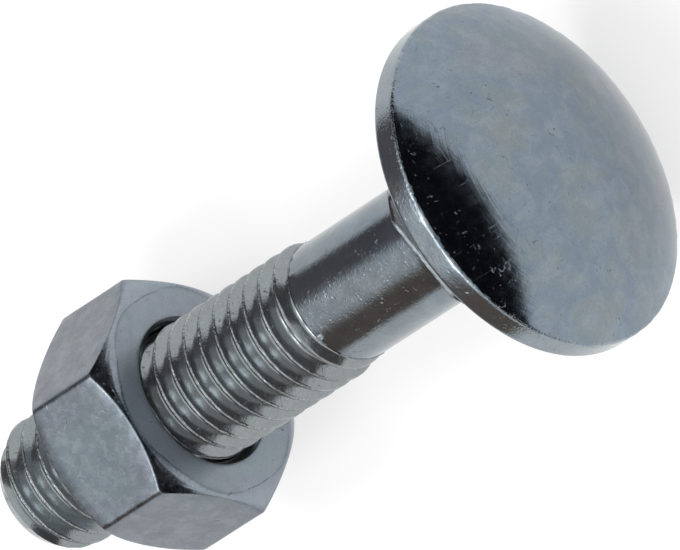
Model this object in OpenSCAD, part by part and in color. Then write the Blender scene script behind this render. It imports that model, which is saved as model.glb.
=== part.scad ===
// Carriage bolt with a hex nut run onto its thread, lying on its side on a flat surface.
// Each piece is drawn along the bolt's own axis: zero is the underside of the head, the head
// stands above it and the shank runs down from it. The module lie() then lays them down.

/* [Bolt] */
// Length of the bolt under its head
bolt_len = 39.5; // [36:0.5:46]
// Nominal diameter of the thread
thread_d = 8; // [7:0.25:9]
// Distance from one turn of the thread to the next
pitch = 1.25; // [1:0.05:1.5]
// Length of the full thread, measured from the bolt's end
thread_len = 23.75; // [20:0.25:25]
// Number of turns over which the thread dies away into the shank
runout_turns = 1.5; // [1:0.25:3]
// Radius lost at the thread's crests to rolling and plating
crest_loss = 0.05; // [0.02:0.01:0.1]
// Height of the bevel on the bolt's end
end_bevel_h = 1.2; // [0.8:0.05:1.5]
// Width of that bevel, measured on the radius
end_bevel = 0.8; // [0.7:0.05:1.2]

/* [Head] */
// Diameter of the head
head_d = 20; // [18.5:0.25:23]
// Height of the head, from its underside to the top of the dome
head_h = 4.65; // [4:0.05:5.5]
// Radius on the upper and lower edges of the rim
rim_edge = 0.15; // [0.1:0.05:0.4]
// Height of the upright rim, with its edges
rim_h = 1.5; // [1.2:0.05:2]

/* [Neck] */
// Width of the square neck across its flats
neck_w = 8; // [7.75:0.05:9]
// Length of the square neck under the head
neck_len = 5; // [4:0.1:6]
// Radius on the long corners of the neck
neck_corner = 0.6; // [0.3:0.05:1]
// Height and width of the rounding that takes the neck's lower corners off
neck_bevel = 0.7; // [0.3:0.05:1]
// Turn of the neck from the upright, seen from the head
neck_turn = 12; // [-45:1:45]

/* [Nut] */
// Width of the nut across its flats
nut_w = 12.9; // [12:0.1:14]
// Height of the nut
nut_h = 6.5; // [5.5:0.1:7.5]
// Distance from the underside of the head to the nut
nut_place = 26; // [20:0.25:30]
// Slope of the crowned chamfer on both faces of the nut, where it leaves the face
nut_slope = 34; // [25:1:42]
// Width of the chamfer on the nut's faces at the middle of a flat
nut_land = 0.15; // [0.1:0.05:0.4]
// Diameter of the mouth of the nut's countersunk bore
mouth_d = 8.9; // [8.75:0.05:9.5]
// Half of the countersink's angle
mouth_slope = 60; // [45:1:65]
// Running clearance between the crests of the thread and the nut, measured on the radius
nut_gap = 0.05; // [0.03:0.01:0.1]

/* [Hidden] */
$fn = 96;
over = 1;

// The thread is rolled: its blank, and so the plain shank, has the pitch diameter.
ridge_h = sqrt(3) / 2 * pitch;
shank_r = thread_d / 2 - 3 / 8 * ridge_h;
crest_r = thread_d / 2 - crest_loss;
crest_flat = pitch / 8 + 2 * crest_loss * tan(30);
// The root is round, and meets the flanks on both sides in line with them.
root_round = ridge_h / 6;
root_centre_r = thread_d / 2 - 17 / 24 * ridge_h + root_round;
// The run-out starts this much below the shank's surface, so that the two meet in a clean edge.
runout_step = 0.02;
rod_r = shank_r - runout_step;

// The helix is cut into equal steps, and starts where the crests begin to rise.
turn_steps = 36;
runout_len = runout_turns * pitch;
start_place = bolt_len - thread_len - runout_len;
helix_len = bolt_len - start_place;
helix_steps = ceil(helix_len / pitch * turn_steps) + turn_steps / 4;

head_r = head_d / 2;
dome_rise = head_h - rim_h;
nut_r = nut_w / 2;
nut_corner_r = nut_r / cos(30);
face_r = nut_r - nut_land;
// The nut's chamfers are part of a ball, so they grow a little steeper towards the corners.
chamfer_ball_r = face_r / sin(nut_slope);
chamfer_ball_depth = chamfer_ball_r * cos(nut_slope);
land_drop = chamfer_ball_depth - sqrt(pow(chamfer_ball_r, 2) - nut_r * nut_r);
nut_bore_r = crest_r + nut_gap;

// The bolt rests on the lower edge of its rim and on the far edge of one flat of the nut.
rest_arm = nut_place + nut_h - land_drop + rim_edge;
rest_rise = head_r - rim_edge - nut_r;
tilt = atan(rest_rise / rest_arm) + asin(rim_edge / norm([rest_rise, rest_arm]));
axis_h = (head_r - rim_edge) * cos(tilt) - rim_edge * sin(tilt) + rim_edge;

// The dome is part of a ball whose surface passes through the top of the rim.
dome_r = (head_r * head_r + dome_rise * dome_rise) / (2 * dome_rise);
dome_place = head_h - dome_r;
end_r = crest_r - end_bevel;
right_x = dome_place * cos(tilt) + dome_r;
left_x = -bolt_len * cos(tilt) - end_r * sin(tilt);

function on_circle(r, angle, z) = [r * cos(angle), r * sin(angle), z];

// One turn's section of the thread, its root and then its crest: the place of each corner along
// the pitch, and its radius.
thread_section = concat(
    [for (angle = [-60, -20, 20, 60])
        [root_round * (sin(60) + sin(angle)), root_centre_r - root_round * cos(angle)]],
    [for (side = [-1, 1])
        [root_round * sin(60) + (pitch + side * crest_flat) / 2, crest_r]]
);
section_size = len(thread_section);

// How much of the full depth the thread has at a step: none at the start of the run-out, where it
// grows the fastest.
function depth_share(step) = sin(90 * min(1, step / (runout_turns * turn_steps)));

function thread_point(step, corner) = on_circle(
    rod_r + (thread_section[corner][1] - rod_r) * depth_share(step),
    360 * step / turn_steps,
    pitch * step / turn_steps + thread_section[corner][0]
);

// Number of a point in the list below. The corner after the last is the first of the next turn.
function point_at(step, corner) = corner < section_size
    ? step * section_size + corner
    : (step + turn_steps) * section_size;

// A closed solid bounded by the thread's surface, longer than the bolt by part of a turn.
module thread_rod() {
    last = helix_steps;
    ribbon = [for (step = [0:last + turn_steps], corner = [0:section_size - 1]) thread_point(step, corner)];
    ring = [for (step = [0:turn_steps - 1]) on_circle(rod_r, 360 * step / turn_steps, 0)];
    top = [[0, 0, pitch * last / turn_steps + pitch / 2]];
    ring_at = len(ribbon);
    top_at = ring_at + len(ring);
    seam = [for (corner = [section_size:-1:0]) point_at(last, corner)];

    surface = [for (step = [0:last - 1], corner = [0:section_size - 1], half = [0, 1])
        half == 0
            ? [point_at(step, corner), point_at(step, corner + 1), point_at(step + 1, corner + 1)]
            : [point_at(step, corner), point_at(step + 1, corner + 1), point_at(step + 1, corner)]];
    // The first turn of the helix climbs away from the flat ring at its start.
    skirt_upper = [for (step = [1:turn_steps - 2])
        [ring_at + step, point_at(step, 0), point_at(step + 1, 0)]];
    skirt_lower = [for (step = [0:turn_steps - 2])
        [step == 0 ? point_at(0, 0) : ring_at + step, point_at(step + 1, 0), ring_at + step + 1]];
    before_seam = point_at(turn_steps - 1, 0);
    skirt_seam = [for (corner = [0:section_size - 1])
        [before_seam, point_at(0, corner + 1), point_at(0, corner)]];
    skirt_last = [[before_seam, point_at(0, 0), ring_at + turn_steps - 1]];
    floor_face = [concat([point_at(0, 0)], [for (step = [1:turn_steps - 1]) ring_at + step])];
    cap = [for (step = [last:last + turn_steps - 1])
        [top_at, point_at(step + 1, 0), point_at(step, 0)]];
    cap_seam = [for (i = [0:len(seam) - 2]) [top_at, seam[i + 1], seam[i]]];

    polyhedron(
        points = concat(ribbon, ring, top),
        faces = concat(surface, skirt_upper, skirt_lower, skirt_seam, skirt_last, floor_face, cap, cap_seam)
    );
}

// What is turned off the end of the bolt: all past its length, and a bevel around it.
module end_waste() {
    rotate_extrude()
        polygon([
            [0, helix_len],
            [end_r, helix_len],
            [crest_r + end_bevel, helix_len - 2 * end_bevel_h],
            [crest_r + end_bevel, helix_len + 2 * pitch + over],
            [0, helix_len + 2 * pitch + over],
        ]);
}

module thread() {
    translate([0, 0, -start_place])
        rotate([180, 0, 0])
            difference() {
                thread_rod();
                end_waste();
            }
}

// Half of the head's section, its dome and rim joined by a round edge.
module head_section() {
    edge_x = head_r - rim_edge;
    edge_z = dome_place + sqrt(pow(dome_r - rim_edge, 2) - edge_x * edge_x);
    past_dome = (dome_r + over) / (dome_r - rim_edge);
    intersection() {
        translate([0, dome_place])
            circle(dome_r);
        square([head_r, head_h]);
        union() {
            polygon([
                [0, dome_place],
                [edge_x * past_dome, dome_place + (edge_z - dome_place) * past_dome],
                [0, head_h + over],
            ]);
            square([edge_x, edge_z]);
            translate([0, rim_edge])
                square([head_r, edge_z - rim_edge]);
            for (z = [rim_edge, edge_z])
                translate([edge_x, z])
                    circle(rim_edge);
        }
    }
}

module head() {
    rotate_extrude()
        head_section();
}

// A square prism with round corners, whose lower corners are rounded off by a ball.
module neck() {
    side = neck_w - 2 * neck_corner;
    corner_r = norm([side, side]) / 2 + neck_corner;
    low_r = corner_r - neck_bevel;
    ball_height = ((corner_r * corner_r - low_r * low_r) / neck_bevel + neck_bevel) / 2;
    intersection() {
        rotate([0, 0, neck_turn])
            translate([0, 0, -neck_len])
                linear_extrude(neck_len + rim_edge)
                    union() {
                        square([neck_w, side], center = true);
                        square([side, neck_w], center = true);
                        for (x = [-1, 1], y = [-1, 1])
                            translate([x * side / 2, y * side / 2])
                                circle(neck_corner);
                    }
        translate([0, 0, ball_height - neck_len])
            sphere(norm([low_r, ball_height]));
    }
}

module shank() {
    translate([0, 0, -start_place])
        cylinder(h = start_place, r = shank_r);
}

// Lays what is drawn along the bolt's axis down on the surface, centred over the origin.
module lie() {
    translate([-(right_x + left_x) / 2, 0, axis_h])
        rotate([0, 90 - tilt, 0])
            children();
}

module bolt() {
    color("#9aa5ab")
        lie() {
            head();
            neck();
            shank();
            thread();
        }
}

// The hexagon with its corners rounded off at both ends by balls.
module nut_body() {
    intersection() {
        rotate([0, 0, 30])
            cylinder(h = nut_h, r = nut_corner_r, $fn = 6);
        translate([0, 0, chamfer_ball_depth])
            sphere(chamfer_ball_r);
        translate([0, 0, nut_h - chamfer_ball_depth])
            sphere(chamfer_ball_r);
    }
}

// A countersink that narrows from the face of the nut, at z = 0, to its bore.
module mouth() {
    depth = (mouth_d / 2 - nut_bore_r) / tan(mouth_slope);
    translate([0, 0, -over])
        cylinder(h = over + depth, r1 = mouth_d / 2 + over * tan(mouth_slope), r2 = nut_bore_r);
}

module nut() {
    color("#8f9aa1")
        lie()
            translate([0, 0, -nut_place - nut_h])
                difference() {
                    nut_body();
                    translate([0, 0, -over])
                        cylinder(h = nut_h + 2 * over, r = nut_bore_r);
                    mouth();
                    translate([0, 0, nut_h])
                        mirror([0, 0, 1])
                            mouth();
                }
}

bolt();
nut();
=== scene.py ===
"""A zinc-plated carriage bolt with a hex nut run onto its thread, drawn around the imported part."""
import math

import bpy
import numpy as np
from mathutils import Matrix, Vector


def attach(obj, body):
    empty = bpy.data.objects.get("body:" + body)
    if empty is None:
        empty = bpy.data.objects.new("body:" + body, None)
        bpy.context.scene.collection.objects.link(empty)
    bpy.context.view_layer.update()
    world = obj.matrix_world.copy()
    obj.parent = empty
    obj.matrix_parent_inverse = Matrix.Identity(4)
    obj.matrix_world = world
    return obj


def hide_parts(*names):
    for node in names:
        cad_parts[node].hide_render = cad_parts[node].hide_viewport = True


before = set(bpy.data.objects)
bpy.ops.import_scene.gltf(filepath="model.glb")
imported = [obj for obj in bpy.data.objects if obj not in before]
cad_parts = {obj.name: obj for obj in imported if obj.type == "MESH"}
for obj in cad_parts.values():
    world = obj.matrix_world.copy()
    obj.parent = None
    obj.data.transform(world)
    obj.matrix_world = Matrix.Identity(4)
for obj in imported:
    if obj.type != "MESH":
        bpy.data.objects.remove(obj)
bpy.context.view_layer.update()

MM = 1000  # millimetres in a metre

# Sizes of the bolt in millimetres, measured along its own axis from the underside of its head. The solid
# rests on RIM_EDGE, and RIM_LOW_EDGE is the rounder edge that is drawn in its place.
BOLT_LEN = 39.5
THREAD_LEN = 23.75
THREAD_R = 4.0
PITCH = 1.25
CREST_R = 3.95
END_BEVEL = 0.8
END_BEVEL_H = 1.2
END_R = CREST_R - END_BEVEL
HEAD_R = 10.0
HEAD_H = 4.65
RIM_H = 1.5
RIM_EDGE = 0.15
RIM_LOW_EDGE = 0.25
RIM_TOP_EDGE = 0.2
NECK_HALF = 4.0
NECK_LEN = 5.0
NECK_CORNER = 0.6
NECK_BEVEL = 0.7
NECK_TURN = math.radians(12)

# The neck's small rounds: under the head, along its lower edge, and where the shank leaves it. A burr along
# the lower edge stands BURR outside the neck and begins BURR_H above the neck's end. Its rows are given by
# their height above that end and their depth inside the burr's outer line.
NECK_ROOT = 0.3
NECK_EDGE = 0.05
SHANK_FILLET = 0.1
BURR = 0.04
BURR_H = 0.14
BURR_ROWS = ((0.12, 0.036), (0.1, 0.018), (0.08, 0.004))

# The thread: the height of a sharp ridge, the shank at the middle of the flanks, and the round root with half
# its width. Between flank and crest a shoulder's arc turns from STEEP to GENTLE, and the tip's arc follows,
# which ends CREST_HALF before the crest's middle.
RIDGE_H = math.sqrt(3) / 2 * PITCH
SHANK_R = THREAD_R - 3 / 8 * RIDGE_H
ROOT_ROUND = RIDGE_H / 6
ROOT_START = ROOT_ROUND * math.sin(math.pi / 3)
SHOULDER_ROUND = 0.3
TIP_ROUND = 0.12
CREST_HALF = 0.01
STEEP = math.radians(62)
GENTLE = math.radians(35)

# The last points of the crest, down into the seam along its middle, each with its distance from the middle,
# its depth and its wear, where a wear of 0 paints shade into the seam
SEAM = 0.04
CREST_POINTS = ((0.055, 0.008, 1.0), (0.035, 0.0, 0.9), (0.02, SEAM / 2, 0.0), (0.0, SEAM, 0.0))

# The rings and the helix have as many points in a turn. The thread starts RUN_OUT turns above its full
# length, and its drawn ridges are full after FULL_STEPS points, just under a turn.
TURN = 150
RUN_OUT = 1.5
START = BOLT_LEN - THREAD_LEN - RUN_OUT * PITCH
FULL_STEPS = 141
THETA = 2 * np.pi * np.arange(TURN) / TURN

# The helix runs on past the bolt's end by a little more than a pitch, and that part folds onto the end face
# with END_FOLD of radius lost for each millimetre. The end's edge is drawn just inside the solid's.
PAST_END = 1.3
END_FOLD = 1.1
END_EDGE_R = END_R - 0.01

# The ragged lip along the first groove: its height, its width, and how far it stands before the groove's
# first line once the groove is full
LIP = 0.05
LIP_WIDTH = 0.03
LIP_BEFORE = 0.16

# Depths of the dents along the crests, the end and the rim, of uneven forging, and of the seam in the crests,
# which is deeper by SEAM_START_DENT where they begin. The head is uneven towards a point that lies UNEVEN_TO
# below the middle of its height.
CREST_DENT = 0.035
END_DENT = 0.04
RIM_DENT = 0.05
UNEVEN = 0.012
UNEVEN_TO = 4
SEAM_DENT = 0.015
SEAM_START_DENT = 0.12

# Sizes of the nut. Its bore runs BORE_GAP clear of the bolt's crests, and its own thread is cut GROOVE deep,
# with flats that take up GROOVE_FLAT of half a pitch at the root and at the crest.
NUT_R = 6.45
NUT_H = 6.5
NUT_PLACE = 26.0
NUT_CORNER = 0.5
NUT_SLOPE = math.radians(34)
FACE_STEP = 0.15
FACE_R = NUT_R - FACE_STEP
MOUTH_R = 4.45
MOUTH_SLOPE = math.radians(60)
BORE_GAP = 0.05
BORE_R = CREST_R + BORE_GAP
GROOVE = 0.4
GROOVE_FLAT = 0.14
CHAMFER_BALL_R = FACE_R / math.sin(NUT_SLOPE)
CHAMFER_BALL_DEPTH = CHAMFER_BALL_R * math.cos(NUT_SLOPE)

# How far the nut's round edges reach: at the bore's mouth, between face and chamfer, and round the flats.
# No edge takes up more than REACH_SHARE of the surface beside it. MOUTH_STEP goes a little way down the
# mouth, inwards and along the axis. The rings of the chamfer lie between two shares of its width, and those
# of the flats and the bore stay clear of their ends. The flats are worn near their corners.
MOUTH_REACH = 0.08
FACE_REACH = 0.35
FLAT_REACH = 0.05
REACH_SHARE = 0.42
MOUTH_STEP = (0.2, 0.12)
CHAMFER_SHARES = (0.45, 0.65)
FLAT_CLEAR = 0.1
BORE_CLEAR = 0.02
CORNER_BAND = 0.15
NUT_DENT = 0.02

# Faces that meet at more than this angle have a sharp edge between them
SHARP_ANGLE = math.radians(34)

# How the bolt lies: on the lower edge of its rim and on the far edge of one flat of the nut
LAND_DROP = CHAMFER_BALL_DEPTH - math.sqrt(CHAMFER_BALL_R**2 - NUT_R**2)
REST_ARM = NUT_PLACE + NUT_H - LAND_DROP + RIM_EDGE
REST_RISE = HEAD_R - RIM_EDGE - NUT_R
TILT = math.atan(REST_RISE / REST_ARM) + math.asin(RIM_EDGE / math.hypot(REST_RISE, REST_ARM))
AXIS_H = (HEAD_R - RIM_EDGE) * math.cos(TILT) - RIM_EDGE * math.sin(TILT) + RIM_EDGE
DOME_RISE = HEAD_H - RIM_H
DOME_R = (HEAD_R**2 + DOME_RISE**2) / (2 * DOME_RISE)
DOME_PLACE = HEAD_H - DOME_R
RIGHT_X = DOME_PLACE * math.cos(TILT) + DOME_R
LEFT_X = -BOLT_LEN * math.cos(TILT) - END_R * math.sin(TILT)
AXIS_X = -(RIGHT_X + LEFT_X) / 2


def lie(points):
    """Takes points drawn along the bolt's axis, in millimetres, to where the bolt lies, in metres."""
    x, y, z = np.asarray(points, float).T
    s, c = math.sin(TILT), math.cos(TILT)
    return np.stack([AXIS_X + s * x + c * z, y, AXIS_H - c * x + s * z], 1) / MM


def ring(r, place, angles=THETA):
    """A ring of points round the axis, at a distance under the head. The angles run as the thread does."""
    r, place = np.broadcast_to(r, angles.shape), np.broadcast_to(place, angles.shape)
    return np.stack([r * np.cos(angles), -r * np.sin(angles), -place], 1)


def polygon_r(angle, sides, apothem, corner):
    """Radius of a regular polygon's outline with round corners, at an angle from the middle of a side."""
    half = np.pi / sides
    off = np.abs((angle + half) % (2 * half) - half)
    centre = (apothem - corner) / math.cos(half)
    side = centre * np.sin(half - off)
    round_r = centre * np.cos(half - off) + np.sqrt(np.maximum(corner**2 - side**2, 0))
    flat = np.tan(off) <= (apothem - corner) * math.tan(half) / apothem
    return np.where(flat, apothem / np.cos(off), round_r)


def waves(points, length, seed):
    """A smooth random field with about this wavelength, from about -1 to 1, the same on each run."""
    count = 14
    rng = np.random.default_rng(seed)
    ways = rng.normal(size=(count, 3))
    ways *= 2 * np.pi / length / np.linalg.norm(ways, axis=1, keepdims=True)
    ways *= rng.uniform(0.7, 1.4, (count, 1))
    return np.sin(points @ ways.T + rng.uniform(0, 2 * np.pi, count)).sum(1) / math.sqrt(count) / 1.5


def make_mesh(name, points, faces, materials, face_materials, wear_and_painted_shade, tone_and_painted_light):
    """An object from points in the bolt's frame, with a wear value that is low where shade is painted, and a
    tone of the plate that carries painted light, at each point.
    """
    mesh = bpy.data.meshes.new(name)
    mesh.from_pydata(lie(points).tolist(), [], faces)
    mesh.validate()
    for material in materials:
        mesh.materials.append(material)
    mesh.polygons.foreach_set("material_index", np.asarray(face_materials, np.int32))
    for attribute, values in (("wear_and_painted_shade", wear_and_painted_shade), ("tone_and_painted_light", tone_and_painted_light)):
        values = np.broadcast_to(values, len(points)).astype(np.float32)
        mesh.attributes.new(attribute, "FLOAT", "POINT").data.foreach_set("value", values)
    mesh.shade_smooth()
    mesh.set_sharp_from_angle(angle=SHARP_ANGLE)
    obj = bpy.data.objects.new(name, mesh)
    bpy.context.scene.collection.objects.link(obj)
    return obj


def arc(centre_r, centre_z, radius, start, end, count):
    """Points (r, z) on an arc in the section, at angles from the axis towards the head."""
    angles = np.linspace(start, end, count)
    return [(centre_r + radius * math.sin(a), centre_z + radius * math.cos(a)) for a in angles]


# Materials


class Tree:
    """Adds nodes to a tree. An input that is a socket is linked, and any other value is set."""

    def __init__(self, tree):
        self.tree = tree
        tree.nodes.clear()

    def add(self, kind, inputs=(), **settings):
        node = self.tree.nodes.new(kind)
        for key, value in settings.items():
            setattr(node, key, value)
        for key, value in dict(inputs).items():
            if isinstance(value, bpy.types.NodeSocket):
                self.tree.links.new(value, node.inputs[key])
            else:
                node.inputs[key].default_value = value
        return node

    def math(self, operation, a, b=0.0, clamp=False):
        return self.add("ShaderNodeMath", {0: a, 1: b}, operation=operation, use_clamp=clamp).outputs[0]

    def noise(self, vector, scale, detail=2.0, roughness=0.5, distortion=0.0):
        look = {"Scale": scale, "Detail": detail, "Roughness": roughness, "Distortion": distortion}
        return self.add("ShaderNodeTexNoise", {"Vector": vector, **look}).outputs["Fac"]

    def spread(self, value, low, high, to_low=0.0, to_high=1.0):
        return self.add(
            "ShaderNodeMapRange",
            {"Value": value, "From Min": low, "From Max": high, "To Min": to_low, "To Max": to_high},
            interpolation_type="SMOOTHSTEP",
        ).outputs["Result"]

    def mix(self, factor, a, b):
        node = self.add("ShaderNodeMix", {"Factor": factor}, data_type="RGBA")
        for index, value in ((6, a), (7, b)):
            if isinstance(value, bpy.types.NodeSocket):
                self.tree.links.new(value, node.inputs[index])
            else:
                node.inputs[index].default_value = (*value, 1)
        return node.outputs[2]

    def ramp(self, value, stops):
        node = self.add("ShaderNodeValToRGB", {"Fac": value})
        elements = node.color_ramp.elements
        while len(elements) < len(stops):
            elements.new(0.5)
        for element, (place, colour) in zip(elements, stops):
            element.position = place
            element.color = (*colour, 1)
        return node.outputs["Color"]


# Colours of the plate's clouds, grain and pits, of the painted shade in the thread's roots and seam and on
# the neck, and where it is rubbed bright
CLOUD = (0.40, 0.45, 0.48)
GRAIN = (0.10, 0.12, 0.14)
PIT = (0.07, 0.065, 0.065)
ROOT_PAINTED_SHADE = (0.05, 0.045, 0.04)
RUBBED = (0.55, 0.59, 0.61)

# Depths of pits and of nicks, in millimetres, and how close the three sets of scratches lie along each axis
PIT_DEPTH = 0.012
NICK_DEPTH = 0.025
SCRATCHES = ((0.25, 6, 0.5), (5, 0.3, 0.7), (2.5, 2.2, 0.2))


def plating(name, tints, rough, peel, grain, scratch, dots=0.0, root_painted_shade=0.0, rings=0.0, metal=1.0):
    """Bright zinc plate with a clear blue passivate, mottled, pitted and worn along its edges.

    Peel, grain, scratch, dots and rings are heights of its relief in millimetres."""
    material = bpy.data.materials.new(name)
    material.use_nodes = True
    t = Tree(material.node_tree)
    # Places in the bolt's own frame, in millimetres
    place = t.add("ShaderNodeTexCoord").outputs["Object"]
    upright = TILT - math.pi / 2
    shift = Matrix.Rotation(upright, 3, "Y") @ Vector((AXIS_X, 0, AXIS_H))
    axis_mm = t.add(
        "ShaderNodeMapping",
        {"Vector": place, "Scale": (MM,) * 3, "Rotation": (0, upright, 0), "Location": -shift},
    ).outputs["Vector"]
    # The wear is high on worn edges, and low where shade is painted into the roots, the seam and the neck
    wear_and_painted_shade = t.add("ShaderNodeAttribute", attribute_name="wear_and_painted_shade").outputs["Fac"]
    worn = t.spread(wear_and_painted_shade, 0.8, 1.0)

    # Colour: broad tints of the passivate, clouds, fine grain, dark pits, painted shade in the roots, bright
    # worn edges
    tint = t.noise(axis_mm, scale=0.22, detail=3.0, roughness=0.6, distortion=0.3)
    colour = t.ramp(tint, tints)
    # The tone of the plate, which carries painted light on the rim and the nut's faces and chamfers, and
    # painted shade on three of the nut's flats
    tone_and_painted_light = t.add("ShaderNodeAttribute", attribute_name="tone_and_painted_light").outputs["Fac"]
    colour = t.add("ShaderNodeVectorMath", {0: colour, "Scale": tone_and_painted_light}, operation="SCALE").outputs[0]
    cloud = t.noise(axis_mm, scale=0.9, detail=4.0, roughness=0.65, distortion=0.4)
    colour = t.mix(t.spread(cloud, 0.4, 0.7, to_high=0.2), colour, CLOUD)
    fine = t.noise(axis_mm, scale=8.0, roughness=0.7)
    colour = t.mix(t.spread(fine, 0.35, 0.75, to_high=0.22), colour, GRAIN)
    pits = t.noise(axis_mm, scale=2.6, detail=3.0, roughness=0.55, distortion=1.2)
    pits = t.spread(pits, 0.67, 0.75)
    colour = t.mix(t.math("MULTIPLY", pits, 0.55), colour, PIT)
    # Painted shade: a dark colour where the wear is low
    if root_painted_shade:
        colour = t.mix(t.spread(wear_and_painted_shade, 0.0, 0.2, root_painted_shade, 0.0), colour, ROOT_PAINTED_SHADE)
    rubbed = t.math("MULTIPLY", worn, t.spread(cloud, 0.4, 0.6, to_high=0.4))
    colour = t.mix(rubbed, colour, RUBBED)

    # Roughness: cloudy, and higher in the pits
    roughness = t.noise(axis_mm, scale=1.7, detail=4.0, roughness=0.6)
    roughness = t.spread(roughness, 0.3, 0.7, rough * 0.75, rough * 1.25)
    roughness = t.math("ADD", roughness, t.math("MULTIPLY", pits, 0.15), clamp=True)

    # Relief: orange peel from forging, grain, pits and nicks on the worn edges
    height = t.math("MULTIPLY", t.noise(axis_mm, scale=0.6), peel)
    height = t.math("ADD", height, t.math("MULTIPLY", fine, grain))
    height = t.math("ADD", height, t.math("MULTIPLY", pits, -PIT_DEPTH))
    nicks = t.spread(t.noise(axis_mm, scale=4.5, detail=3.0, roughness=0.6), 0.4, 0.65)
    nicks = t.math("MULTIPLY", nicks, worn)
    height = t.math("ADD", height, t.math("MULTIPLY", nicks, -NICK_DEPTH))
    if dots:
        raised = t.spread(t.noise(axis_mm, scale=4.5), 0.62, 0.72)
        height = t.math("ADD", height, t.math("MULTIPLY", raised, dots))
    if rings:
        # Turned rings, fine away from the axis and long round it
        x, y, _ = t.add("ShaderNodeSeparateXYZ", {"Vector": axis_mm}).outputs
        across = t.add("ShaderNodeVectorMath", {0: axis_mm, 1: (1, 1, 0)}, operation="MULTIPLY").outputs[0]
        from_axis = t.add("ShaderNodeVectorMath", {0: across}, operation="LENGTH").outputs["Value"]
        fine_way = t.math("MULTIPLY", from_axis, 4.0)
        around = t.add("ShaderNodeCombineXYZ", {"X": fine_way, "Y": x, "Z": y}).outputs[0]
        long_ways = {0: around, 1: (1, 0.12, 0.12)}
        around = t.add("ShaderNodeVectorMath", long_ways, operation="MULTIPLY").outputs[0]
        turned = t.noise(around, scale=1.0, detail=3.0, roughness=0.6)
        height = t.math("ADD", height, t.math("MULTIPLY", turned, rings))
    # Scratches in three sets that cross
    for index, closeness in enumerate(SCRATCHES):
        lines = t.add(
            "ShaderNodeMapping",
            {"Vector": axis_mm, "Scale": closeness, "Rotation": (0.2 * index, 0.1, 0.7 * index)},
        ).outputs["Vector"]
        line = t.noise(lines, scale=1.0, detail=3.0, roughness=0.6, distortion=1.2)
        height = t.math("ADD", height, t.spread(line, 0.69, 0.74, 0.0, -scratch))
    bump = t.add("ShaderNodeBump", {"Height": height, "Strength": 1.0, "Distance": 1 / MM}).outputs["Normal"]

    shader = t.add(
        "ShaderNodeBsdfPrincipled",
        {"Base Color": colour, "Metallic": metal, "Roughness": roughness, "Normal": bump},
    )
    t.add("ShaderNodeOutputMaterial", {"Surface": shader.outputs[0]})
    return material


BLUE = (0.205, 0.255, 0.315)
GREY = (0.225, 0.272, 0.305)
PALE = (0.25, 0.29, 0.315)
STRAW = (0.25, 0.285, 0.295)
LILAC = (0.24, 0.265, 0.312)
HEAD_TINTS = [(0.3, STRAW), (0.42, GREY), (0.5, BLUE), (0.58, GREY), (0.68, LILAC), (0.78, PALE)]
SHANK_TINTS = [(0.3, (0.195, 0.235, 0.263)), (0.5, (0.205, 0.238, 0.258)), (0.7, (0.185, 0.225, 0.27))]
THREAD_TINTS = [(0.3, (0.285, 0.315, 0.327)), (0.5, (0.30, 0.325, 0.332)), (0.7, (0.285, 0.32, 0.337))]
NUT_TINTS = [(0.3, GREY), (0.45, LILAC), (0.6, GREY), (0.75, BLUE)]
head_plate = plating(
    "zinc_head", HEAD_TINTS, rough=0.13, peel=0.010, grain=0.0015, scratch=0.003, rings=0.004
)
shank_plate = plating(
    "zinc_shank", SHANK_TINTS, rough=0.13, peel=0.004, grain=0.008, scratch=0.002,
    dots=0.003, root_painted_shade=0.95, metal=0.92,
)
thread_plate = plating(
    "zinc_thread", THREAD_TINTS, rough=0.15, peel=0.003, grain=0.004, scratch=0.002,
    dots=0.003, root_painted_shade=0.85, metal=0.82,
)
nut_plate = plating(
    "zinc_nut", NUT_TINTS, rough=0.26, peel=0.006, grain=0.0012, scratch=0.002, metal=0.95
)
face_plate = plating(
    "zinc_nut_face", NUT_TINTS, rough=0.36, peel=0.004, grain=0.0015, scratch=0.002,
    rings=0.003, metal=0.55,
)
chamfer_plate = plating(
    "zinc_nut_chamfer", NUT_TINTS, rough=0.22, peel=0.004, grain=0.004, scratch=0.002,
    dots=0.004, rings=0.003,
)

# Each mesh numbers its materials in the order of its tuple. The rim, the neck and the shank share one.
BOLT_PLATES = (head_plate, shank_plate, thread_plate)
DOME, SHANK, THREAD = range(3)
NUT_PLATES = (nut_plate, thread_plate, face_plate, chamfer_plate)
SIDE, BORE, FACE, CHAMFER = range(4)

# Tones of the plate: painted light on the rim, a darker plate in the middle of the dome, a tone for each of
# the nut's six flats with painted shade on the three that face the camera, and painted light on the nut's
# faces and chamfers
RIM_PAINTED_LIGHT = 1.25
DOME_SHADE = 0.88
FLAT_TONES_AND_PAINTED_SHADE = np.array([1.0, 0.9, 0.66, 0.84, 0.64, 0.9])
FACE_PAINTED_LIGHT = 1.7
CHAMFER_PAINTED_LIGHT = 1.12


# The bolt, one closed mesh: rings from the top of the dome to the start of the thread, then the helix


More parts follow.
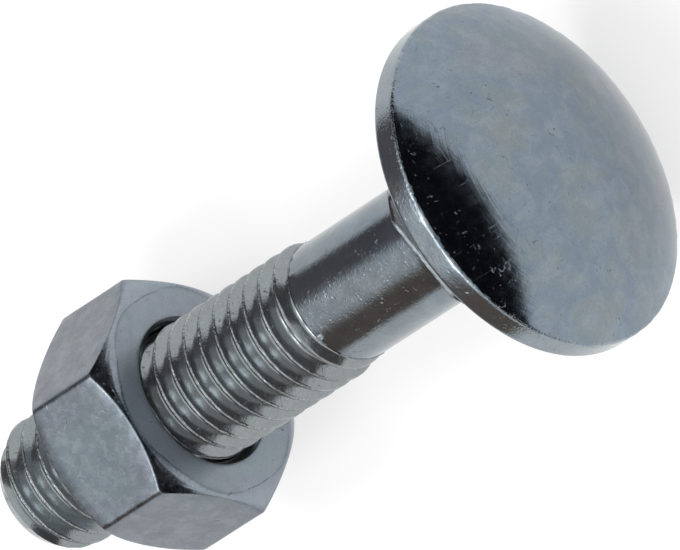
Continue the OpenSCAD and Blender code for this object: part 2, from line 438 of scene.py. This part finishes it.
def bolt_rows():
    """Rings of the head, neck and shank, each with its material and wear."""
    rows = []

    def add(material, wear_and_painted_shade, r, z):
        rows.append((ring(r, -np.asarray(z, float)), material, wear_and_painted_shade))

    # The dome and the upright rim, with their round edges
    top_r = HEAD_R - RIM_TOP_EDGE
    top_z = DOME_PLACE + math.sqrt((DOME_R - RIM_TOP_EDGE) ** 2 - top_r**2)
    meet = math.atan2(top_r, top_z - DOME_PLACE)
    for a in np.linspace(0, meet, 49)[1:-1]:
        add(DOME, 0.2, DOME_R * math.sin(a), DOME_PLACE + DOME_R * math.cos(a))
    for r, z in arc(top_r, top_z, RIM_TOP_EDGE, meet, np.pi / 2, 10):
        add(DOME, 0.9, r, z)
    edge_r = HEAD_R - RIM_LOW_EDGE
    for z in np.linspace(top_z, RIM_LOW_EDGE, 7)[1:-1]:
        add(SHANK, 0.4, HEAD_R, z)
    for r, z in arc(edge_r, RIM_LOW_EDGE, RIM_LOW_EDGE, np.pi / 2, np.pi, 13):
        add(SHANK, 0.5, r, z)

    # The neck: a square with round corners, whose lower corners a ball cuts off
    square = polygon_r(THETA + NECK_TURN, 4, NECK_HALF, NECK_CORNER)
    corner_r = square.max()
    low_r = corner_r - NECK_BEVEL
    ball_height = ((corner_r**2 - low_r**2) / NECK_BEVEL + NECK_BEVEL) / 2
    ball_r = math.hypot(low_r, ball_height)

    def neck_r(place):
        return np.minimum(square, math.sqrt(ball_r**2 - (ball_height - (NECK_LEN - place)) ** 2))

    # The wear falls to 0.1 under the head, round the neck's root and along its sides, which paints shade
    # there
    for share in np.linspace(0, 1, 9)[1:]:
        add(SHANK, 0.4 - 0.3 * share, edge_r + (square + NECK_ROOT - edge_r) * share, 0.0)
    for a in np.linspace(0, np.pi / 2, 5)[1:]:
        root_r = square + NECK_ROOT - NECK_ROOT * math.sin(a)
        add(SHANK, 0.1, root_r, -NECK_ROOT + NECK_ROOT * math.cos(a))
    low_start = NECK_LEN - 1
    upper = np.linspace(NECK_ROOT, low_start, 8)[1:]
    lower = np.linspace(low_start, NECK_LEN - BURR_H, 7)[1:]
    for place in [*upper, *lower]:
        add(SHANK, 0.1, neck_r(place), -place)
    low = neck_r(NECK_LEN) + BURR
    for above, inside in BURR_ROWS:
        add(SHANK, 0.8, np.minimum(low - inside, neck_r(NECK_LEN - above) + BURR - inside), above - NECK_LEN)
    for a in np.linspace(0, np.pi / 2, 5):
        round_r = low - NECK_EDGE + NECK_EDGE * math.cos(a)
        add(SHANK, 0.9, round_r, -NECK_LEN + NECK_EDGE - NECK_EDGE * math.sin(a))

    # The neck's end and the shank
    for share in np.linspace(0, 1, 5)[1:]:
        end_r = low - NECK_EDGE + (SHANK_R + SHANK_FILLET - low + NECK_EDGE) * share
        add(SHANK, 0.3, end_r, -NECK_LEN)
    for a in np.linspace(0, np.pi / 2, 5)[1:]:
        fillet_r = SHANK_R + SHANK_FILLET - SHANK_FILLET * math.sin(a)
        add(SHANK, 0.2, fillet_r, -NECK_LEN - SHANK_FILLET + SHANK_FILLET * math.cos(a))
    for place in np.linspace(NECK_LEN + SHANK_FILLET, START, 14)[1:]:
        add(SHANK, 0.4, SHANK_R, -place)
    return rows


def half_section():
    """Half of one ridge of the thread, from the middle of the root to the seam along the middle of the crest.

    Each point has its distance from the middle of the root, its radius and its wear. The root is an arc that
    touches both flanks. The flank is straight up to about two thirds of its height, and then rounds over to
    the crest."""
    centre_r = THREAD_R - 7 / 8 * RIDGE_H + 2 * ROOT_ROUND
    # The wear is lowest in the middle of the root, which paints shade there
    rows = [
        (ROOT_ROUND * math.sin(a), centre_r - ROOT_ROUND * math.cos(a), 0.1 + 0.3 * a)
        for a in np.linspace(0, np.pi / 3, 5)
    ]
    tip_x = PITCH / 2 - CREST_HALF - TIP_ROUND * math.sin(GENTLE)
    tip_r = CREST_R - TIP_ROUND * (1 - math.cos(GENTLE))
    centre_x = tip_x + SHOULDER_ROUND * math.sin(GENTLE)
    centre_r = tip_r - SHOULDER_ROUND * math.cos(GENTLE)
    for a in np.linspace(STEEP, GENTLE, 4):
        wear_and_painted_shade = 0.6 if a > (STEEP + GENTLE) / 2 else 0.95
        rows.append((centre_x - SHOULDER_ROUND * math.sin(a), centre_r + SHOULDER_ROUND * math.cos(a), wear_and_painted_shade))
    rows += [(PITCH / 2 - before, CREST_R - under, wear_and_painted_shade) for before, under, wear_and_painted_shade in CREST_POINTS]
    return rows


def thread_points(length, last):
    """The helix: a section of points at each step round the axis, up to a turn after the last full step.

    Gives the points, their wear, which of them lie on the end's edge, the depth of the thread at each step
    as a share of the full one, and the number of points in a section."""
    half = half_section()
    section = [(ROOT_START + d, *rest) for d, *rest in half]
    section += [((ROOT_START - d) % PITCH, *rest) for d, *rest in half[1:-1]]
    section.sort()
    count = len(section)
    steps = np.arange(last + TURN + 1)
    u, section_r, section_wear_and_painted_shade = np.array(section).T
    along = PITCH * steps[:, None] / TURN + u[None, :]
    depth = np.sin(np.pi / 2 * np.minimum(1, steps / FULL_STEPS))[:, None]
    # The crests swell up out of the shank while the grooves between them are cut deeper
    radius = np.minimum(
        SHANK_R + np.maximum(section_r - SHANK_R, 0) * depth,
        section_r + (1 - depth) * (SHANK_R - section_r.min()),
    )
    angle = 2 * np.pi * steps[:, None] / TURN

    # Small dents along the crests, and a ragged seam in them that is deepest where the thread begins
    flat = np.stack([radius * np.cos(angle), radius * np.sin(angle), along], 2).reshape(-1, 3)
    dents = waves(flat, length=0.4, seed=3) * 0.6 + waves(flat, length=2.0, seed=4) * 0.4
    dents = dents.reshape(radius.shape)
    height = np.clip((section_r[None, :] - SHANK_R) / (CREST_R - SHANK_R), 0, 1)
    radius = radius - np.clip(dents, 0, 1) * CREST_DENT * height * depth
    in_seam = (section_r == CREST_R - SEAM)[None, :]
    unfilled = SEAM_DENT + SEAM_START_DENT * np.exp(-steps[:, None] / TURN / RUN_OUT)
    ragged = np.clip(0.4 + 0.7 * waves(flat, length=0.5, seed=7).reshape(radius.shape), -0.5, 1.5)
    radius = radius - in_seam * ragged * unfilled * depth

    # One point in each column moves onto the end's edge, and what is past the end folds onto the end face
    on_edge = np.zeros(along.shape, bool)
    for column in range(TURN):
        mine = np.arange(column, len(steps), TURN)
        nearest = np.abs(along[mine] - length).argmin()
        i, j = mine[nearest // count], nearest % count
        along[i, j], radius[i, j], on_edge[i, j] = length, END_EDGE_R, True
    past = np.maximum(along - length, 0)
    battered = np.clip(waves(flat, length=0.7, seed=10).reshape(radius.shape), 0, 1) * END_DENT * (~on_edge)
    bevel_r = END_EDGE_R - battered + np.maximum(length - along, 0) * END_BEVEL / END_BEVEL_H
    radius = np.minimum(radius, bevel_r)
    radius = np.where(past > 0, END_R - END_FOLD * past, radius)
    along = np.minimum(along, length)
    helix = np.stack([radius * np.cos(angle), -radius * np.sin(angle), -START - along], 2).reshape(-1, 3)
    wear_and_painted_shade = np.where(past > 0, 0.5, section_wear_and_painted_shade[None, :] * depth + 0.4 * (1 - depth))
    return helix, wear_and_painted_shade.reshape(-1), on_edge.reshape(-1), depth[:, 0], count


def lip_points(depth):
    """The foot and the top of the ragged lip that runs along the first groove, where the thread begins."""
    turned = np.arange(1, TURN)
    angles = THETA[1:]
    groove_at = PITCH * turned / TURN - LIP_BEFORE * depth[1:TURN]
    line = np.stack([SHANK_R * np.cos(angles), SHANK_R * np.sin(angles), groove_at], 1)
    rise = np.minimum(1, 6 * turned / TURN) * LIP * np.clip(1 + 0.9 * waves(line, length=0.4, seed=8), 0.1, 2)
    wide = np.minimum(LIP_WIDTH + LIP_WIDTH * np.abs(waves(line, length=0.9, seed=9)), groove_at / 2)
    foot = ring(SHANK_R, START + groove_at - wide, angles)
    top = ring(SHANK_R + rise, START + groove_at, angles)
    return foot, top


def bolt_piece():
    """The bolt as one closed mesh: the middle of the dome, the rings, the helix and the middle of the end."""
    rows = bolt_rows()
    points = [np.array([[0, 0, HEAD_H]])] + [row[0] for row in rows]
    wear_and_painted_shade = [0.2] + [w for row in rows for w in [row[2]] * TURN]
    faces, kinds = [], []
    for k in range(TURN):
        faces.append((0, 1 + k, 1 + (k + 1) % TURN))
        kinds.append(DOME)
    for n in range(1, len(rows)):
        a, b = 1 + (n - 1) * TURN, 1 + n * TURN
        for k in range(TURN):
            m = (k + 1) % TURN
            faces.append((a + k, b + k, b + m, a + m))
            kinds.append(rows[n][1])
    ring_at = 1 + (len(rows) - 1) * TURN

    # The helix, whose section ends where the section one turn later begins
    length = BOLT_LEN - START
    last = int((length + PAST_END) / PITCH * TURN)
    helix, helix_wear_and_painted_shade, on_edge, depth, count = thread_points(length, last)
    helix_at = ring_at + TURN
    tip = helix_at + len(helix)
    foot, top = lip_points(depth)
    foot_at = tip + 1
    top_at = foot_at + TURN - 1
    points += [helix, np.array([[0, 0, -BOLT_LEN]]), foot, top]
    wear_and_painted_shade += [*helix_wear_and_painted_shade, 0.5] + [0.4] * (TURN - 1) + [0.9] * (TURN - 1)

    def at(step, corner):
        if corner == count:
            step, corner = step + TURN, 0
        return helix_at + step * count + corner

    # Each face of the helix has four corners, or is cut in two where the end's edge runs across it
    start_face = len(faces)
    for step in range(last):
        for corner in range(count):
            a, b = at(step, corner), at(step, corner + 1)
            d, c = at(step + 1, corner), at(step + 1, corner + 1)
            if on_edge[b - helix_at] and on_edge[d - helix_at]:
                faces += [(a, b, d), (b, c, d)]
            elif on_edge[a - helix_at] and on_edge[c - helix_at]:
                faces += [(a, b, c), (a, c, d)]
            else:
                faces.append((a, b, c, d))
    # The groove's first side, from the lip down to the helix, with the fan that closes it after one turn
    shank_line = [ring_at + step for step in range(TURN)]
    foot_line = [ring_at] + [foot_at + step for step in range(TURN - 1)]
    top_line = [ring_at] + [top_at + step for step in range(TURN - 1)]
    root_line = [ring_at] + [at(step, 0) for step in range(1, TURN)]
    faces.append((ring_at, root_line[1], top_line[1]))
    for step in range(1, TURN - 1):
        faces.append((top_line[step], root_line[step], root_line[step + 1], top_line[step + 1]))
    for corner in range(count - 1):
        faces.append((top_line[-1], at(0, corner + 1), at(0, corner) if corner else ring_at))
    faces.append((root_line[-1], at(0, count), at(0, count - 1)))
    faces.append((root_line[-1], at(0, count - 1), top_line[-1]))
    # The end face
    for corner in range(count):
        faces.append((at(last + 1, 0), at(last, corner), at(last, corner + 1)))
    faces.append((at(last + 1, 0), at(last, count), tip))
    for step in range(last + 1, last + TURN):
        faces.append((tip, at(step + 1, 0), at(step, 0)))
    kinds += [THREAD] * (len(faces) - start_face)
    # The plain skirt between the shank's last ring and the lip
    start_face = len(faces)
    for upper, lower in ((shank_line, foot_line), (foot_line, top_line)):
        faces.append((ring_at, lower[1], upper[1]))
        for step in range(1, TURN - 1):
            faces.append((upper[step], lower[step], lower[step + 1], upper[step + 1]))
        faces.append((lower[-1], ring_at, upper[-1]))
    kinds += [SHANK] * (len(faces) - start_face)

    # The ring's first point stands in for the helix's first, and points that no face uses are dropped. Faces
    # turn round to look outwards, because the angles run clockwise as seen from the head.
    first = at(0, 0)
    faces = [tuple(ring_at if p == first else p for p in face) for face in faces]
    points = np.concatenate(points)
    used = np.zeros(len(points), bool)
    used[np.concatenate(faces)] = True
    number = np.cumsum(used) - 1
    faces = [tuple(int(number[p]) for p in reversed(face)) for face in faces]
    points, wear_and_painted_shade = points[used], np.asarray(wear_and_painted_shade)[used]

    # Slight unevenness of forging, only inwards, and most along the rim's edges
    head = points[:, 2] > 0.01
    uneven = np.clip(waves(points, length=4.5, seed=1) * 0.5 + 0.5, 0, 1) * UNEVEN
    rough_edge = np.clip(waves(points, length=0.6, seed=2), 0, 1) * RIM_DENT * (wear_and_painted_shade > 0.85)
    inwards = np.where(head, uneven + rough_edge, 0)[:, None]
    middle = np.array([[0, 0, HEAD_H / 2 - UNEVEN_TO]])
    way = points - middle
    points = points - way / np.linalg.norm(way, axis=1, keepdims=True) * inwards
    # The plate is a little darker in the middle of the dome, and the rim has painted light that makes it
    # paler than the shank
    from_axis = np.hypot(points[:, 0], points[:, 1])
    dome_shade = DOME_SHADE + (1 - DOME_SHADE) * (from_axis / HEAD_R) ** 2
    head_tone_and_painted_light = np.where(points[:, 2] < RIM_H - 0.1, RIM_PAINTED_LIGHT, dome_shade)
    tone_and_painted_light = np.where(head, head_tone_and_painted_light, 1.0)
    return make_mesh("carriage_bolt", points, faces, BOLT_PLATES, kinds, wear_and_painted_shade, tone_and_painted_light)


# The nut, one closed mesh


def nut_piece():
    """The nut as rings round its axis: up the threaded bore, over one face, down the outside, and back."""
    half = np.pi / 6
    turn_off = math.atan((NUT_R - NUT_CORNER) * math.tan(half) / NUT_R)
    side = np.linspace(-turn_off, turn_off, 21)
    bend = np.linspace(turn_off, 2 * half - turn_off, 7)[1:-1]
    angles = np.concatenate([np.concatenate([side, bend]) + k * 2 * half for k in range(6)])
    outline = polygon_r(angles, 6, NUT_R, NUT_CORNER)
    rows = []

    def ball_drop(r):
        """How far the ball that cuts the chamfer lies under the face, at a radius."""
        return CHAMFER_BALL_DEPTH - np.sqrt(CHAMFER_BALL_R**2 - r**2)

    def add(r, z, wear_and_painted_shade, material=SIDE):
        r, z = np.broadcast_to(r, angles.shape), np.broadcast_to(z, angles.shape)
        rows.append((ring(r, NUT_PLACE + NUT_H - z, angles), np.broadcast_to(wear_and_painted_shade, angles.shape), material))

    def bend_over(a, b, c, reach, count, wear_and_painted_shade, material):
        """A round edge at b on the way from a to c, each (r, z) over the angles."""
        a, b, c = (np.stack(np.broadcast_arrays(*p, angles)[:2]) for p in (a, b, c))
        before, after = a - b, c - b
        long_before, long_after = np.linalg.norm(before, axis=0), np.linalg.norm(after, axis=0)
        reach = np.minimum(reach, REACH_SHARE * np.minimum(long_before, long_after))
        p, q = b + before / long_before * reach, b + after / long_after * reach
        for s in np.linspace(0, 1, count):
            at = (1 - s) ** 2 * p + 2 * s * (1 - s) * b + s * s * q
            add(at[0], at[1], wear_and_painted_shade, material)

    bore_rows = 84
    for z in np.linspace(BORE_CLEAR, NUT_H - BORE_CLEAR, bore_rows):
        turn = ((NUT_H + NUT_PLACE - START - z) / PITCH - angles / (2 * np.pi) - 0.5) % 1
        ridge = np.clip((np.abs(turn - 0.5) * 2 - GROOVE_FLAT) / (1 - 2 * GROOVE_FLAT), 0, 1)
        cut = BORE_R + GROOVE * ridge
        into = np.minimum(z, NUT_H - z)
        cone = MOUTH_R - into * math.tan(MOUTH_SLOPE)
        add(np.maximum(cut, cone), z, 0.2 + 0.6 * (1 - ridge), BORE)

    # Places on the outside, as (r, z): far names lie towards the head and near ones towards the bolt's end
    drop = ball_drop(outline)
    step_in, step_down = MOUTH_STEP
    far_mouth, near_mouth = (MOUTH_R, NUT_H), (MOUTH_R, 0.0)
    far_face, near_face = (FACE_R, NUT_H), (FACE_R, 0.0)
    far_flat, near_flat = (outline, NUT_H - drop), (outline, drop)
    bend_over((MOUTH_R - step_in, NUT_H - step_down), far_mouth, far_face, MOUTH_REACH, 3, 0.8, FACE)
    for share in np.linspace(0, 1, 7)[1:-1]:
        add(MOUTH_R + (FACE_R - MOUTH_R) * share, NUT_H, 0.3, FACE)
    bend_over(far_mouth, far_face, far_flat, FACE_REACH, 6, 0.6, CHAMFER)
    for share in np.linspace(*CHAMFER_SHARES, 3):
        r = FACE_R + (outline - FACE_R) * share
        add(r, NUT_H - ball_drop(r), 0.3, CHAMFER)
    bend_over(far_face, far_flat, near_flat, FLAT_REACH, 4, 0.85, SIDE)
    worn_corner = np.where(outline > NUT_R / math.cos(half) - CORNER_BAND, 0.5, 0.3)
    flat_h = NUT_H - 2 * drop - 2 * FLAT_CLEAR
    for share in np.linspace(0, 1, 9)[1:-1]:
        add(outline, NUT_H - drop - FLAT_CLEAR - flat_h * share, worn_corner)
    bend_over(far_flat, near_flat, near_face, FLAT_REACH, 4, 0.85, SIDE)
    for share in np.linspace(*reversed(CHAMFER_SHARES), 3):
        r = FACE_R + (outline - FACE_R) * share
        add(r, ball_drop(r), 0.3, CHAMFER)
    bend_over(near_flat, near_face, near_mouth, FACE_REACH, 6, 0.6, CHAMFER)
    for share in np.linspace(1, 0, 7)[1:-1]:
        add(MOUTH_R + (FACE_R - MOUTH_R) * share, 0.0, 0.3, FACE)
    bend_over(near_face, near_mouth, (MOUTH_R - step_in, step_down), MOUTH_REACH, 3, 0.8, FACE)

    points = np.concatenate([row[0] for row in rows])
    wear_and_painted_shade = np.concatenate([row[1] for row in rows])
    columns = len(angles)
    kind_of_point = np.repeat([row[2] for row in rows], columns)
    faces, kinds = [], []
    for n in range(len(rows)):
        a, b = n * columns, (n + 1) % len(rows) * columns
        for k in range(columns):
            m = (k + 1) % columns
            faces.append((a + k, a + m, b + m, b + k))
            kinds.append(rows[n][2])
    # Slight dents on the outside, deeper along the worn edges
    outside = np.hypot(points[:, 0], points[:, 1]) > MOUTH_R + 0.1
    dents = np.clip(waves(points, length=5.0, seed=5) * 0.5 + 0.5, 0, 1) * NUT_DENT
    dents += np.clip(waves(points, length=1.1, seed=6), 0, 1) * NUT_DENT * (wear_and_painted_shade > 0.85)
    middle = np.array([[0, 0, -NUT_PLACE - NUT_H / 2]])
    way = points - middle
    points = points - way / np.linalg.norm(way, axis=1, keepdims=True) * (dents * outside)[:, None]
    # Each flat has a tone of its own; the three flats that face the camera are painted darker, a painted
    # shade, and the faces and chamfers are painted lighter, a painted light
    azimuth = (-np.arctan2(points[:, 1], points[:, 0]) / (2 * half)) % 6
    flat_tone_and_painted_shade = FLAT_TONES_AND_PAINTED_SHADE[np.round(azimuth).astype(int) % 6]
    tone_and_painted_light = np.choose(kind_of_point, [flat_tone_and_painted_shade, 1.0, FACE_PAINTED_LIGHT, CHAMFER_PAINTED_LIGHT])
    return make_mesh("hex_nut", points, faces, NUT_PLATES, kinds, wear_and_painted_shade, tone_and_painted_light)


bolt = bolt_piece()
nut = nut_piece()
for piece, body, slot in ((bolt, "bolt", "bolt_plating"), (nut, "nut", "nut_plating")):
    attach(piece, body)
    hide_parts(body)


# The studio: a white table, a dark band of room round it, and a wide soft light overhead

WHITE = (1.0, 1.0, 1.0)

# The light overhead begins BAND_TOP degrees above the table, with BAND_BLUR more or less at its soft edge.
# Each lamp lies in a direction about one long. It is gone at the first angle of LAMP_EDGE and full at the
# second, where 90 degrees is its middle.
BAND_TOP = 38
BAND_BLUR = 1.5
BAND_FRONT = (0.010, 0.009, 0.011)
BAND_LEFT = (0.14, 0.118, 0.118)
BAND_RIGHT = (0.165, 0.11, 0.08)
WINDOW = (1.1, 1.0, 0.92)
LAMPS = [(-0.43, 0.28, 0.857), (-0.41, -0.26, 0.874)]
LAMP_GLOW = 7.8
LAMP_EDGE = (76, 83)
TABLE_GREY = (0.34, 0.34, 0.34, 1)
TABLE_GLOW = 0.7
TABLE_HALF = 3.0


def white_floor():
    """A white table that also glows a little where the camera and reflections see it."""
    material = bpy.data.materials.new("white_table")
    material.use_nodes = True
    t = Tree(material.node_tree)
    paths = t.add("ShaderNodeLightPath").outputs
    seen = t.math("ADD", paths["Is Camera Ray"], paths["Is Glossy Ray"])
    seen = t.math("ADD", seen, paths["Is Transmission Ray"], clamp=True)
    paper = t.add("ShaderNodeBsdfDiffuse", {"Color": TABLE_GREY})
    strength = t.math("MULTIPLY", seen, TABLE_GLOW)
    glow = t.add("ShaderNodeEmission", {"Color": (*WHITE, 1), "Strength": strength})
    both = t.add("ShaderNodeAddShader", {0: paper.outputs[0], 1: glow.outputs[0]})
    t.add("ShaderNodeOutputMaterial", {"Surface": both.outputs[0]})
    mesh = bpy.data.meshes.new("floor")
    corners = [(x * TABLE_HALF, y * TABLE_HALF, 0) for x, y in ((-1, -1), (1, -1), (1, 1), (-1, 1))]
    mesh.from_pydata(corners, [], [(0, 1, 2, 3)])
    mesh.materials.append(material)
    floor = bpy.data.objects.new("floor", mesh)
    bpy.context.scene.collection.objects.link(floor)


def studio_world():
    """The light all round: white below and overhead, and the dark room between them."""
    world = bpy.data.worlds.new("studio")
    bpy.context.scene.world = world
    world.use_nodes = True
    t = Tree(world.node_tree)
    way = t.add("ShaderNodeTexCoord").outputs["Generated"]
    x, y, z = t.add("ShaderNodeSeparateXYZ", {"Vector": way}).outputs

    def rise(degrees):
        return math.sin(math.radians(degrees))

    # The room is lighter and browner on one side, where it has a window, and darkest behind the camera
    band = t.mix(t.spread(y, -0.3, 0.3), BAND_RIGHT, BAND_LEFT)
    beside = t.math("MULTIPLY", t.spread(x, -0.55, -0.4), t.spread(y, -0.4, -0.6))
    band = t.mix(beside, band, WINDOW)
    band = t.mix(t.spread(x, -0.1, 0.4), band, BAND_FRONT)
    above = t.spread(z, rise(BAND_TOP - BAND_BLUR), rise(BAND_TOP + BAND_BLUR))
    below = t.spread(z, rise(2), rise(0))
    colour = t.mix(t.math("ADD", above, below, clamp=True), band, WHITE)
    # Two soft lamps high up behind the bolt, which show only in the thread and along the edges
    outer, inner = LAMP_EDGE
    for lamp in LAMPS:
        near = t.add("ShaderNodeVectorMath", {0: way, 1: lamp}, operation="DOT_PRODUCT").outputs["Value"]
        glow = t.spread(near, rise(outer), rise(inner), to_high=LAMP_GLOW)
        colour = t.add("ShaderNodeVectorMath", {0: colour, 1: glow}, operation="ADD").outputs[0]
    colour = t.mix(t.add("ShaderNodeLightPath").outputs["Is Camera Ray"], colour, WHITE)
    light = t.add("ShaderNodeBackground", {"Color": colour, "Strength": 1.0})
    t.add("ShaderNodeOutputWorld", {"Surface": light.outputs[0]})


def camera():
    """The photograph's camera, looking down on the bolt and rolled so that the head is at the upper right."""
    data = bpy.data.cameras.new("camera")
    data.lens = 722.1
    data.sensor_width = 36
    data.clip_start, data.clip_end = 0.01, 20
    obj = bpy.data.objects.new("camera", data)
    bpy.context.scene.collection.objects.link(obj)
    place = Vector((0.404645, -0.025538, 0.616388))
    target = Vector((0.008739, 0.000828, 0.015698))
    upright = (target - place).to_track_quat("-Z", "Y").to_matrix()
    roll = Matrix.Rotation(math.radians(-118.144), 3, "Z")
    obj.matrix_world = Matrix.Translation(place) @ (upright @ roll).to_4x4()
    bpy.context.scene.camera = obj


white_floor()
studio_world()
camera()
bpy.context.scene.view_settings.view_transform = "Standard"
